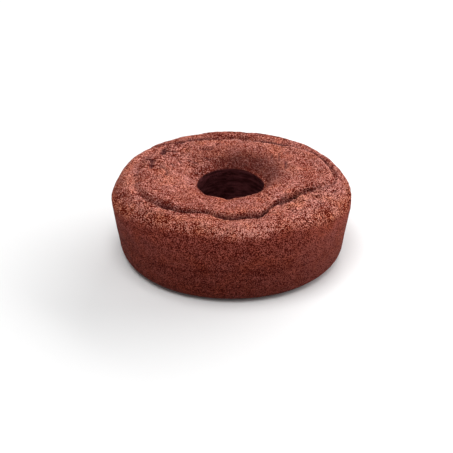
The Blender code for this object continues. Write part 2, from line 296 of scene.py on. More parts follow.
# Where the crust is more orange: just above the mould line, and on the front of the top
ORANGE = (
    (0, 0.6), (60, 0.3), (150, 0.3), (195, 1.0), (215, 0.7), (240, 0.4), (270, 0.2), (298, 0.3),
    (325, 1.5), (345, 1.4),
)
ORANGE_ABOVE = 0.004
ORANGE_REACH = 0.007
ORANGE_FRONT = 0.4
FRONT_TOP_R = 0.052
FRONT_ANGLES = (200, 330)
ORANGE_LOST = 0.8               # near the crack, and down the funnel from a radius inwards
ORANGE_END_R = 0.046
ORANGE_END_REACH = 0.006

# Darker: baked and painted shade on the shoulder above the mould line, and baked blotches outside the crack
# at the back
SINGED_AND_SHADED = (
    (0, 0.9), (30, 1.5), (60, 1.7), (100, 1.5), (150, 1.6), (180, 1.7), (200, 1.4), (220, 1.6),
    (238, 1.2), (250, 0.8), (258, -0.2), (275, -0.3), (288, 0.1), (300, 0.5), (320, 1.0), (340, 1.0),
)
SINGED_ABOVE = 0.006
SINGED_REACH = 0.0095
SINGED_BACK = (
    (0, 0.7), (30, 0.9), (60, 0.8), (76, 1.2), (95, 1.6), (108, 0.9), (125, 0.5), (145, 0.0), (200, 0.0),
    (300, 0.0), (335, 0.2),
)
BLOTCH_SIZE = 0.009
BLOTCH_SHARE = (0.6, 1.2)       # the middle of the blotches' strength, and how far it swings

# How far outwards the crack's painted shade lies. The further, the more ragged and broken it is.
CRACK_LEAN = (
    (15, 0.0020), (40, 0.0020), (62, 0.0030), (95, 0.0035), (120, 0.0030), (140, 0.0), (200, 0.0),
    (300, 0.0), (330, 0.0015), (350, 0.0035),
)
FULL_LEAN = 0.0035
RAGGED = ((0.4, 0.0045, 0.5), (0.6, 0.0018, 0.35))      # shift, size and height of each swell
RAGGED_REACH = 0.8
BREAK_PATCH = 0.008
BREAK_SHARE = (0.05, 1.4)
WALL_INNER = (0.65, 0.3)        # reach of the dark inwards, as parts of the face and of the lean
WALL_OUTER = (0.55, 0.2)        # and outwards, as parts of the gap and of the lean
WALL_LEAST = 0.0005
SPLIT_FULL = 0.0034             # depth from which the crack is as dark as it gets
SPLIT_POWER = 1.5

# Painted highlight on the crack's inner lip, and the dry, pale crust just outside it, partly painted light
CRACK_LIP_HIGHLIGHT = (
    (10, 1.3), (30, 1.4), (60, 1.5), (85, 1.6), (105, 1.3), (125, 0.8), (150, 0.0), (250, 0.0),
    (300, 0.5), (330, 0.3), (348, 0.8),
)
LIP_IN = 0.0034
LIP_REACH = 0.0021
DRY = (
    (20, 0.6), (100, 0.6), (180, 1.3), (205, 1.4), (225, 1.0), (290, 1.0), (305, 2.0), (322, 2.0),
    (340, 1.2),
)
DRY_START = 0.001
DRY_END = 0.024
DRY_FADE = 0.016

# Painted shade on the funnel, and a painted highlight on its edge where the rim is pushed in
FUNNEL_PAINTED_SHADE = (
    (0, 0.48), (20, 0.52), (60, 0.67), (100, 0.60), (118, 0.38), (135, 0.20), (175, 0.05), (270, 0.0),
    (330, 0.10), (345, 0.30),
)
SHADE_R = 0.068
SHADE_REACH = 0.026
RIM_LIGHT = 0.7 / 0.0038        # for each metre that the rim is pushed in
RIM_LIGHT_AT = 0.0012
RIM_LIGHT_REACH = 0.0018
HOLE_FADE = 0.01                # distance over which the underside's colour gives way to the hole's

# Paler and darker zones: angle, radius, how far each reaches both ways, and how much paler
# partly painted light and shade where the top slopes to or from the light, partly the crust's own tone
PAINTED_LIGHT_AND_TONE_ZONES = (
    (0, 0.072, 30, 0.007, -0.12),
    (6, 0.055, 9, 0.006, 0.20),
    (14, 0.073, 12, 0.007, -0.10),
    (155, 0.044, 15, 0.006, 0.07),
    (185, 0.096, 12, 0.006, 0.10),
    (187, 0.081, 14, 0.006, -0.22),
    (191, 0.107, 15, 0.007, -0.18),
    (197, 0.050, 28, 0.011, 0.19),
    (200, 0.094, 8, 0.006, 0.10),
    (218, 0.084, 9, 0.005, 0.10),
    (219, 0.100, 8, 0.009, 0.36),
    (222, 0.108, 7, 0.006, -0.12),
    (238, 0.060, 22, 0.010, 0.10),
    (262, 0.086, 5, 0.004, 0.10),
    (268, 0.051, 24, 0.009, -0.07),
    (268, 0.068, 10, 0.006, -0.08),
    (272, 0.066, 12, 0.008, -0.08),
    (279, 0.098, 12, 0.008, 0.14),
    (284, 0.104, 6, 0.006, 0.10),
    (294, 0.109, 6, 0.006, -0.10),
    (297, 0.0945, 7, 0.006, -0.12),
    (307, 0.104, 6, 0.006, 0.12),
    (308, 0.063, 8, 0.006, 0.12),
    (308, 0.081, 10, 0.006, 0.20),
    (312, 0.110, 7, 0.006, -0.12),
    (316, 0.074, 8, 0.006, 0.10),
    (322, 0.082, 7, 0.006, 0.10),
    (338, 0.089, 8, 0.005, 0.12),
    (343, 0.108, 8, 0.006, 0.12),
    (350, 0.062, 24, 0.006, 0.13),
    (356, 0.089, 14, 0.008, -0.09),
)

# Painted light and shade on the side, by angle, and the height of the faint line along it
SIDE_PAINTED_LIGHT = (
    (0, 0.02), (120, 0.0), (205, 0.0), (225, -0.03), (242, -0.06), (275, -0.07), (290, -0.04),
    (305, 0.07), (330, 0.11), (348, 0.08),
)
SIDE_LINE_Z = ((60, 0.034), (200, 0.030), (235, 0.0295), (270, 0.037), (305, 0.031), (340, 0.032))

# Patterns of thin lines: size, width, the share of the surface that has them, and the offset
# that sets each apart from the others
FINE_LINES = (0.0021, 0.20, 0.55, 8.0)
DARK_LINES = (0.0036, 0.15, 0.60, 4.0)
LIGHT_LINES = (0.0027, 0.13, 0.52, 2.0)
LINE_PATCH = 1.6                # size of the patches with and without lines, in line sizes
LINE_PATCH_EDGE = 9.0           # how sharply the patches end
LINE_PATCH_APART = 3.0          # offset that sets the patches apart from their lines
PLATE_BEND = (1.8, 1.3)         # how often and how far the lines wander, in line sizes

# How strong the dark lines are: in smooth places and more in rough ones, on the side and more
# on the crust
ROUGH_SIZE = 0.014
ROUGH_GAIN = 3.0
ROUGH_START = -1.0
DARK_SMOOTH = 0.6
DARK_ROUGH = 0.5
DARK_SIDE = 0.35
DARK_CRUST = 0.65

# Tone: 0 is the darkest crumb and 1 the palest. How much each thing adds to it:
TONE_MIDDLE = 0.588
GRAIN_SIZE = 0.0009
GRAIN_TONE = 2.9
PATCH_SIZE = 0.0090
PATCH_TONE = 0.12
# painted light on the lumps' tops and painted shade in the creases between them, the pits and the fine
# cracks
LUMP_SHADE_TONE = 0.28                # for each unit of coarseness
LUMP_START = -0.22
LUMP_LEAST = 0.08
PIT_SHADE_TONE = -0.14
FISSURE_SHADE_TONE = -0.28
DARK_TONE = -0.19
FINE_TONE = -0.24
LIGHT_TONE = 0.26
DRY_AND_HIGHLIGHT_TONE = 0.16
SINGED_AND_SHADED_TONE = -0.16
SIDE_LINE_TONE = -0.32
SIDE_LINE_REACH = 0.0030
SIDE_LINE_PATCH = 0.006
MOTTLE_TONE = 0.44
MOTTLE_SIZE = 0.018
MOTTLE_SQUASH = 2.5             # how much wider than high the mottling of the side is
CONTRAST_FINE = 0.90
CONTRAST_COARSE = 0.65          # added for each unit of coarseness

# Colours, linear, and the tones at which they stand
CRUST_DARK = (0.105, 0.005, 0.001, 1.0)
CRUST_MID = (0.290, 0.038, 0.019, 1.0)
CRUST_LIGHT = (0.64, 0.183, 0.124, 1.0)
CRUST_PALE = (0.79, 0.340, 0.270, 1.0)
CRUST_STOPS = ((0.20, CRUST_DARK), (0.48, CRUST_MID), (0.74, CRUST_LIGHT), (0.96, CRUST_PALE))
SIDE_DARK = (0.060, 0.003, 0.001, 1.0)
SIDE_MID = (0.145, 0.021, 0.013, 1.0)
SIDE_LIGHT = (0.33, 0.080, 0.058, 1.0)
SIDE_STOPS = ((0.20, SIDE_DARK), (0.48, SIDE_MID), (0.80, SIDE_LIGHT))
# The hole's wall, with streaks: darker than the side, as painted shade deep in the tube's hole
HOLE_SHADE_DARK = (0.048, 0.008, 0.009, 1.0)
HOLE_SHADE_LIGHT = (0.150, 0.038, 0.042, 1.0)
HOLE_SHADE_STOPS = ((0.36, HOLE_SHADE_DARK), (0.70, HOLE_SHADE_LIGHT))
HOLE_STREAK_SIZE = 0.010
HOLE_SQUASH = 4.0
# Painted shade in the crack's crevice, over darker moist crumb, and darker painted shade at the slot's
# bottom
CRACK_SHADE_COLOUR = (0.088, 0.022, 0.026, 1.0)
CRACK_SHADE_COVER = 0.85
SLOT_SHADE_COLOUR = (0.022, 0.004, 0.003, 1.0)
SLOT_SHADE_COVER = 0.9
# painted shade: the colour the funnel's wall is darkened towards
FUNNEL_SHADE_COLOUR = (0.09, 0.019, 0.016, 1.0)
FOOT_COLOUR = (0.03, 0.004, 0.003, 1.0)
FOOT_COVER = 0.5
FOOT_FADE = 0.055               # height over which the foot's darkness dies out

# Drift of the hue, from warm through neutral to cool, as a factor on each channel
WARM_TINT = (1.06, 0.90, 0.68, 1.0)
PLAIN_TINT = (1.0, 0.97, 0.96, 1.0)
COOL_TINT = (0.98, 1.0, 1.08, 1.0)
TINT_STOPS = ((0.34, WARM_TINT), (0.50, PLAIN_TINT), (0.62, COOL_TINT))
TINT_SIZE = 0.018
TINT_GAIN = 0.6
TINT_START = 0.2
ORANGE_TINT = -0.10

# Finish of the surface
ROUGHNESS = 0.75
SPECULAR = 0.03
BUMP_DISTANCE = 0.0015
DARK_BUMP = -0.45
LIGHT_BUMP = 0.25

# Studio: the floor, and each light's place, width, height and watts
FLOOR_SIZE = 8.0
FLOOR_COLOUR = (0.92, 0.92, 0.92, 1.0)
FLOOR_ROUGHNESS = 0.6
LIGHTS = {
    "key": ((2.32, 2.09, 1.59), 6.0, 1.6, 168.0),
    "overhead": ((-0.50, -0.60, 2.90), 2.0, 2.0, 62.0),
    "left": ((-1.90, -0.90, 0.70), 1.0, 1.0, 2.0),
    "right": ((1.90, -1.00, 0.70), 1.0, 1.0, 5.0),
}
LIGHT_TARGET = Vector((0.0, 0.0, 0.04))
WORLD_COLOUR = (1.0, 1.0, 1.0, 1.0)
WORLD_STRENGTH = 0.20


def ease(t):
    """Smooth step from 0 to 1."""
    t = np.clip(t, 0.0, 1.0)
    return t * t * (3 - 2 * t)


def hill(distance, reach):
    """A smooth bump: 1 at no distance, and nearly 0 from twice its reach."""
    return np.exp(-((distance / reach) ** 2))


def round_curve(table, degrees, column=1):
    """Values at the given degrees on a smooth closed curve through a table's knots."""
    angles = [row[0] for row in table]
    values = [row[column] for row in table]
    knots = np.array([angles[-1] - 360, *angles, angles[0] + 360, angles[1] + 360])
    levels = np.array([values[-1], *values, values[0], values[1]])
    slopes = np.gradient(levels, knots)
    degrees = (degrees - knots[1]) % 360 + knots[1]
    k = np.searchsorted(knots, degrees, side="right") - 1
    span = knots[k + 1] - knots[k]
    t = (degrees - knots[k]) / span
    level = levels[k] * (1 + 2 * t) * (1 - t) ** 2 + levels[k + 1] * t**2 * (3 - 2 * t)
    return level + span * t * (1 - t) * (slopes[k] * (1 - t) - slopes[k + 1] * t)


def quarter(centre, radii, start, fullness=2.0, count=60):
    """A quarter of an ellipse, or of a fuller or flatter curve, clockwise from start degrees."""
    turn = math.radians(start) - np.linspace(0, math.pi / 2, count)
    across = np.cos(turn)
    up = np.sin(turn)
    radius = centre[0] + radii[0] * np.sign(across) * np.abs(across) ** (2 / fullness)
    height = centre[1] + radii[1] * np.sign(up) * np.abs(up) ** (2 / fullness)
    return np.stack([radius, height], axis=1)


def funnel_height(radius, fullness):
    """Height of the top where it dips towards the hole."""
    dip = np.clip((LIP_R - radius) / (LIP_R - RIM_R), 0, 1)
    return LIP_Z - (LIP_Z - RIM_Z) * dip**fullness


def funnel(count=40):
    """From the hole's rim up to the lip, where the crust curled down round the tin's tube."""
    radius = np.linspace(RIM_R, LIP_R, count)
    return np.stack([radius, funnel_height(radius, FUNNEL_FULLNESS)], axis=1)


def crown(count=40):
    """The nearly level top, from the lip out to the shoulder."""
    t = np.linspace(0, 1, count)
    radius = LIP_R + (SHOULDER_R - LIP_R) * t
    height = LIP_Z + (SHOULDER_Z - LIP_Z) * t**2
    return np.stack([radius, height], axis=1)


def section():
    """The ring's outline from the rim out over the top, down, under and up the hole again.

    Returns its points, their distances along it, and the distance at the end of each stretch.
    """
    shoulder_size = (WIDEST_R - SHOULDER_R, SHOULDER_Z - WIDEST_Z)
    stretches = {
        "lip": funnel(),
        "shoulder": crown(),
        "widest": quarter((SHOULDER_R, WIDEST_Z), shoulder_size, 90, SHOULDER_FULLNESS),
        "side": np.array([[BASE_R + BASE_ROUND, BASE_ROUND]]),
        "base": quarter((BASE_R, BASE_ROUND), (BASE_ROUND, BASE_ROUND), 0),
        "underside": np.array([[TUBE_FOOT_R + FOOT_ROUND, 0.0]]),
        "foot": quarter((TUBE_FOOT_R + FOOT_ROUND, FOOT_ROUND), (FOOT_ROUND, FOOT_ROUND), 270),
        "rim": np.array([[RIM_R, RIM_Z]]),
    }
    outline = np.concatenate(list(stretches.values()))
    steps = np.hypot(*np.diff(outline, axis=0).T)
    along = np.concatenate([[0.0], np.cumsum(steps)])
    ends = np.cumsum([len(points) for points in stretches.values()]) - 1
    marks = dict(zip(stretches, along[ends]))
    new = np.diff(along, prepend=-1.0) > SAME_POINT
    return outline[new], along[new], marks


def row_places(crack, marks):
    """Where each row of the mesh lies along the section, given where the crack lies."""
    level = np.zeros_like(crack)

    def stretch(start, end, rows):
        return list(np.linspace(start + level, end + level, rows, endpoint=False))

    first = crack + CRACK_ROWS[0]
    last = crack + CRACK_ROWS[-1]
    rows = stretch(0.0, RIM_SPACE, RIM_ROWS)
    rows += stretch(RIM_SPACE, first, INNER_ROWS)
    rows += [crack + offset for offset in CRACK_ROWS[:-1]]
    rows += stretch(last, marks["widest"], OUTER_ROWS)
    rows += stretch(marks["widest"], marks["side"], SIDE_ROWS)
    rows += stretch(marks["side"], marks["base"], ROUND_ROWS)
    rows += stretch(marks["base"], marks["underside"], UNDERSIDE_ROWS)
    rows += stretch(marks["underside"], marks["foot"], FOOT_ROWS)
    rows += stretch(marks["foot"], marks["rim"] - RIM_SPACE, TUBE_ROWS)
    rows += stretch(marks["rim"] - RIM_SPACE, marks["rim"], TUBE_RIM_ROWS)
    return np.stack(rows)


def swell(points, size, height=1.0):
    """Smooth unevenness at each point, of a given size, from -height to height."""
    scaled = (points / size).tolist()
    return height * np.array([noise.noise(point) for point in scaled])


def cells(points, size):
    """Grains of a given size: 1 at their middles down to about 0 in the creases between them."""
    scaled = (points / size).tolist()
    near = np.array([noise.voronoi(point)[0][:2] for point in scaled])
    dome = 1.0 - near[:, 0] ** 2
    crease = ease((near[:, 1] - near[:, 0]) / CREASE_WIDTH)
    return dome * (CREASE_HEIGHT + (1 - CREASE_HEIGHT) * crease)


def pits(points):
    """Small scattered pits: 1 at the bottom of a pit, 0 away from them."""
    depth = np.zeros(len(points))
    for i, point in enumerate((points / PIT_SIZE).tolist()):
        distances, centres = noise.voronoi(point)
        if noise.cell(PIT_SPREAD * centres[0]) < PIT_SHARE:
            depth[i] = math.exp(-((distances[0] / PIT_REACH) ** 2))
    return depth


def fissures(points):
    """Fine cracks between plates of crust: 1 along a crack, 0 away from it."""
    wander = [swell(points + shift, *PLATE_WANDER) for shift in (0.1, 0.3, 0.5)]
    scaled = ((points + np.stack(wander, axis=1)) / PLATE_SIZE).tolist()
    near = PLATE_SIZE * np.array([noise.voronoi(point)[0][:2] for point in scaled])
    line = hill(near[:, 1] - near[:, 0], 2 * FISSURE_REACH)
    return line * ease(FISSURE_SHARE[0] + FISSURE_SHARE[1] * swell(points + 0.2, FISSURE_PATCH))


def nick_depths(points):
    """How deep the short cracks and creases go at each point."""
    size, far = NICK_WIGGLE
    wiggle = far * np.stack([swell(points + 0.1, size), swell(points + 0.3, size)], axis=1)
    flat = points[:, :2] + wiggle
    total = np.zeros(len(points))
    for line, reach, depth in NICKS:
        distance = np.full(len(points), np.inf)
        for start, end in zip(np.array(line), np.array(line)[1:]):
            span = end - start
            t = np.clip((flat - start) @ span / (span @ span), 0, 1)
            distance = np.minimum(distance, np.hypot(*(flat - start - t[:, None] * span).T))
        total = np.maximum(total, depth * hill(distance, reach))
    return total * (points[:, 2] > RIM_Z)


def crack_relief(offset, sizes):
    """Height that the crack adds to the crust at an offset from it, positive outwards."""
    depth, step, face, gap = (sizes[name] for name in ("depth", "step", "face", "gap"))
    reach = np.where(offset < 0, face, gap)
    blunt = GAP_POWER + GAP_POWER_WIDE * ease(gap / GAP_WIDE - 1)
    power = np.where(offset < 0, FACE_POWER, blunt)
    relief = -depth * np.exp(-((np.abs(offset) / reach) ** power))
    relief += sizes["roll"] * hill(offset + ROLL_FACES_IN * face, face)
    relief += sizes["ridge"] * hill(offset + RIDGE_IN, RIDGE_REACH)
    rise = RISE_SHARE * step * np.exp(np.minimum(offset, 0) / RISE_REACH)
    fall = -(1 - RISE_SHARE) * step * np.exp(-np.maximum(offset, 0) / FALL_REACH)
    outside = ease((offset + face) / (face + STEP_END))
    return relief + rise * (1 - outside) + fall * outside


def grid_normals(points, rows):
    """Unit normals, pointing out, of a closed grid of points."""
    grid = points.reshape(rows, COLUMNS, 3)
    across = np.roll(grid, -1, axis=0) - np.roll(grid, 1, axis=0)
    around = np.roll(grid, -1, axis=1) - np.roll(grid, 1, axis=1)
    normals = np.cross(across, around).reshape(-1, 3)
    return normals / np.linalg.norm(normals, axis=1, keepdims=True)


class Surface:
    """The cake's surface: rows of points round the ring, and what the materials need to know there.

    Each array holds a value for every point: place is how far along the section it lies, and
    offset how far outwards from the crack. The relief is added from the large to the small: the
    ring, the swells, the crack, and then the crumb.
    """

    def __init__(self):
        self.sweep_section()
        self.cover_with_crust()
        self.add_swells()
        self.fill_funnel()
        self.add_crack()
        self.find_coarse_places()
        self.add_crumb()

    def at(self, table, column=1):
        """A table's value at each point's angle."""
        return round_curve(table, self.degrees, column)

    def here(self):
        """The points, from their angles, radii and heights."""
        upward = np.array([0.0, 0.0, 1.0])
        return self.radius[:, None] * self.direction + self.height[:, None] * upward

    def sweep_section(self):
        """Turn the section round the hole's axis, a little out of round and with an uneven rim."""
        outline, along, self.marks = section()
        degrees = np.arange(COLUMNS) * 360 / COLUMNS
        top = along <= self.marks["widest"]
        crack_at = np.interp(round_curve(CRACK, degrees), outline[top, 0], along[top])
        place = row_places(crack_at, self.marks)
        self.rows = len(place)
        self.place = place.ravel()
        self.degrees = np.tile(degrees, self.rows)
        self.offset = self.place - np.tile(crack_at, self.rows)
        turn = np.radians(self.degrees)
        self.direction = np.stack([np.cos(turn), np.sin(turn), np.zeros_like(turn)], axis=1)
        self.radius = np.interp(self.place, along, outline[:, 0])
        self.height = np.interp(self.place, along, outline[:, 1])
        slope = np.gradient(outline, along, axis=0)
        self.normal_r = -np.interp(self.place, along, slope[:, 1])
        self.normal_z = np.interp(self.place, along, slope[:, 0])

        share = ease((self.radius - ROUND_FROM) / (ROUND_TO - ROUND_FROM))
        self.radius += self.at(OUT_OF_ROUND) * share
        up_funnel, down_hole = RIM_IN_REACH
        near_rim = hill(self.place, up_funnel) + hill(self.marks["rim"] - self.place, down_hole)
        self.rim_in = self.at(RIM_IN)
        self.radius -= self.rim_in * near_rim
        self.even = self.here()

    def cover_with_crust(self):
        """Say where the crust is: 1 on it and 0 on the side, in its form and in its colour."""
        on_outside = self.place < self.marks["side"]
        inner = on_outside & (self.radius <= SHOULDER_R)
        self.on_top = ease(2 * self.normal_z) * (self.place < self.marks["widest"])
        self.on_funnel = self.place < self.marks["lip"]
        self.mould_z = self.at(MOULD_Z) + swell(self.even, *MOULD_WANDER)
        above = self.height - self.mould_z
        self.crust = ease(above / MOULD_EDGE) * on_outside
        self.crust[inner] = 1.0
        self.baked = ease(above / MOULD_FADE + MOULD_FADE_LOW) * on_outside
        self.baked[inner] = 1.0

    def add_swells(self):
        """Let the crust stand proud of the side, and make both uneven."""
        bulge = self.at(CRUST_PROUD) * self.crust * (1 - self.on_top)
        for size, rise in CRUST_SWELLS:
            bulge += swell(self.even, size, rise) * self.crust * ease(self.place / FUNNEL_FADE)
        for size, rise in SIDE_SWELLS:
            bulge += swell(self.even, size, rise) * (1 - self.crust) * ease(self.height / BASE_FADE)
        self.radius += bulge * self.normal_r
        self.height += bulge * self.normal_z

    def fill_funnel(self):
        """Raise the funnel's wall by angle, with a brow beside the hole and a bead on its rim."""
        brow = self.at(BROW_RISE) * hill(self.radius - BROW_R, BROW_REACH)
        brow += RIM_BEAD * hill(self.place, RIM_BEAD_REACH)
        plain = funnel_height(self.radius, FUNNEL_FULLNESS)
        full = funnel_height(self.radius, self.at(FULLNESS))
        self.height += self.on_funnel * (full - plain + brow)

    def add_crack(self):
        """Split the crust along the crack, and add the short cracks and creases."""
        for size, reach in CRACK_WIGGLE:
            self.offset += swell(self.even, size, reach)
        self.sizes = {name: self.at(CRACK, column) for name, column in CRACK_COLUMNS.items()}
        tables = {"face": CRACK_FACE, "gap": CRACK_GAP, "roll": CRACK_ROLL, "ridge": RIDGE_RISE}
        self.sizes.update({name: self.at(table) for name, table in tables.items()})
        slot = self.at(CRACK_SLOT) * (SLOT_MEAN + swell(self.even, SLOT_PATCH))
        self.slot = slot * hill(self.offset, SLOT_REACH) * self.on_top
        self.height += self.on_top * crack_relief(self.offset, self.sizes) - SLOT_DEPTH * self.slot
        self.height += self.on_top * self.at(ROLL_RISE) * hill(self.radius - ROLL_R, ROLL_REACH)
        self.points = self.here()
        self.nicks = nick_depths(self.points) * self.on_top
        self.points[:, 2] -= self.nicks

    def find_coarse_places(self):
        """Say how coarse the crumb is, by angle, beside the crack, and in patches."""
        self.outside = ease((self.offset + CRACK_BLEND) / (2 * CRACK_BLEND))
        deepest = max(row[CRACK_COLUMNS["depth"]] for row in CRACK)
        self.depth_share = self.sizes["depth"] / deepest
        self.near_crack = hill(self.offset, self.at(CRACK_ROUGH)) * self.depth_share
        patch = ease(0.5 + PATCH_EDGE * swell(self.points, ROUGH_PATCH))
        coarse = self.at(COARSE_INSIDE) * (1 - self.outside)
        coarse += self.at(COARSE_OUTSIDE) * self.outside
        coarse *= PATCH_COARSE[0] + PATCH_COARSE[1] * patch
        self.coarse = coarse + self.at(CRACK_CRUMB) * self.near_crack

    def add_crumb(self):
        """Roughen the surface with crumb, pits and fine cracks."""
        relief = np.zeros(len(self.points))
        self.grain = np.zeros(len(self.points))
        for size, rise in zip(CRUMB_SIZES, CRUMB_HEIGHTS):
            value = cells(self.points, size)
            relief += rise * (value - 0.5)
            self.grain += value / len(CRUMB_SIZES)
        for size, rise in CRUMB_SWELLS:
            relief += swell(self.points, size, rise)
        self.pitted = pits(self.points) * self.coarse
        cracked = np.clip(FISSURE_COARSE[0] * self.coarse + FISSURE_COARSE[1], 0, 1)
        self.fissured = fissures(self.points) * cracked * self.crust
        relief -= PIT_DEPTH * self.pitted + FISSURE_DEPTH * self.fissured

        amount = self.crust * self.coarse * (RELIEF_INSIDE - RELIEF_LESS_OUTSIDE * self.outside)
        amount += (1 - self.crust) * SIDE_CRUMB
        past_side = (self.place - self.marks["side"]) / UNDER_FADE
        amount *= ease(self.height / BASE_FADE) * ease(UNDER_END - past_side)
        self.blotch = BLOTCH_SHARE[0] + BLOTCH_SHARE[1] * swell(self.points, BLOTCH_SIZE)
        normals = grid_normals(self.points, self.rows)
        self.points = self.points + (RELIEF_GAIN * relief * amount)[:, None] * normals

    def split(self):
        """Painted shade in the cracks. Where the main one leans away, it is ragged and broken."""
        lean = self.at(CRACK_LEAN)
        ragged = sum(swell(self.points + shift, size, height) for shift, size, height in RAGGED)
        wall = self.offset - lean * (1 + RAGGED_REACH * ragged)
        breaks = BREAK_SHARE[0] - BREAK_SHARE[1] * swell(self.points, BREAK_PATCH)
        broken = 1 - lean / FULL_LEAN * ease(breaks - RAGGED_REACH * ragged)
        inner_reach = WALL_INNER[0] * self.sizes["face"] + WALL_INNER[1] * lean
        outer_reach = WALL_OUTER[0] * self.sizes["gap"] + WALL_LEAST + WALL_OUTER[1] * lean
        share = np.clip(self.sizes["depth"] / SPLIT_FULL, 0, 1) ** SPLIT_POWER
        dark = hill(wall, np.where(wall < 0, inner_reach, outer_reach)) * self.on_top * share
        dark *= broken.clip(0, 1)
        return np.maximum(dark, (self.nicks / NICK_FULL).clip(0, 1))

    def dry(self):
        """Dry crust outside the crack, partly painted light, and a painted highlight on its inner lip."""
        start = ease((self.offset + DRY_START) / (2 * DRY_START))
        end = ease((DRY_END - self.offset) / DRY_FADE)
        dry = self.on_top * start * end * self.depth_share * self.at(DRY)
        return dry + self.at(CRACK_LIP_HIGHLIGHT) * hill(self.offset + LIP_IN, LIP_REACH) * self.on_top

    def orange(self):
        """Where the crust is more orange."""
        orange = self.at(ORANGE) * hill(self.height - self.mould_z - ORANGE_ABOVE, ORANGE_REACH)
        start, end = FRONT_ANGLES
        on_front = (self.degrees > start) & (self.degrees < end) & (self.radius < FRONT_TOP_R)
        down_funnel = self.on_funnel * ease((ORANGE_END_R - self.radius) / ORANGE_END_REACH)
        return orange + ORANGE_FRONT * on_front - ORANGE_LOST * (self.near_crack + down_funnel)

    def singed_and_shaded(self):
        """Where the crust is baked darker, and painted shade on the shoulder above the mould line."""
        above = hill(self.height - self.mould_z - SINGED_ABOVE, SINGED_REACH)
        singed_and_shaded = self.at(SINGED_AND_SHADED) * above * self.crust
        return singed_and_shaded + self.at(SINGED_BACK) * self.outside * self.blotch * self.on_top

    def pale(self):
        """Painted light and shade on the side, and zones of the crust, partly painted light and shade."""
        # painted light and shade on the side
        pale = self.at(SIDE_PAINTED_LIGHT) * (1 - self.crust)
        for angle, middle, angle_reach, radius_reach, amount in PAINTED_LIGHT_AND_TONE_ZONES:
            away = (self.degrees - angle + 180) % 360 - 180
            zone = hill(away, angle_reach) * hill(self.radius - middle, radius_reach)
            pale += amount * zone * self.on_top
        return pale

    def painted_funnel_shade(self):
        """Painted shade on the funnel, less of it on the edge where the rim is pushed in."""
        shade = self.at(FUNNEL_PAINTED_SHADE) * ease((SHADE_R - self.radius) / SHADE_REACH) * self.on_funnel
        edge = hill(self.place - RIM_LIGHT_AT, RIM_LIGHT_REACH)
        return shade * (1 - RIM_LIGHT * self.rim_in * edge)

    def attributes(self):
        """What the material reads at each point, by name."""
        return {
            "crust": self.baked,
            # where the lumps' tops get painted light and their creases painted shade
            "crumb": self.grain,
            "coarse": self.coarse * self.crust,
            "pit": self.pitted,
            "fissure": self.fissured,
            # painted shade in the cracks
            "split": self.split(),
            # painted shade at the bottom of the crack's slot, which is also cut into the mesh
            "slot": self.slot,
            # dry crust, partly painted light, and a painted highlight on the crack's lip
            "dry": self.dry(),
            "orange": self.orange(),
            # baked darker, and painted shade on the shoulder
            "singed_and_shaded": self.singed_and_shaded(),
            # painted light and shade on the side and in zones of the top
            "pale": self.pale(),
            # painted shade on the funnel
            "funnel": self.painted_funnel_shade(),
            # painted shade on the hole's wall
            "hole": ease((self.place - self.marks["underside"]) / HOLE_FADE),
            "level": self.height - self.at(SIDE_LINE_Z),
        }


def cake_piece():
    """The cake's own mesh: a closed grid of quads round the ring."""
    surface = Surface()
    row, column = np.meshgrid(np.arange(surface.rows), np.arange(COLUMNS), indexing="ij")
    next_row = (row + 1) % surface.rows
    next_column = (column + 1) % COLUMNS
    corners = [row * COLUMNS + column, next_row * COLUMNS + column,
               next_row * COLUMNS + next_column, row * COLUMNS + next_column]
    faces = np.stack(corners, axis=-1).reshape(-1, 4)
    mesh = bpy.data.meshes.new("cake_crust")
    mesh.from_pydata(surface.points.tolist(), [], faces.tolist())
    for name, value in surface.attributes().items():
        attribute = mesh.attributes.new(name, "FLOAT", "POINT")
        attribute.data.foreach_set("value", value.astype(np.float32))
    mesh.shade_smooth()
    cake = bpy.data.objects.new("cake_crust", mesh)
    bpy.context.scene.collection.objects.link(cake)
    return cake


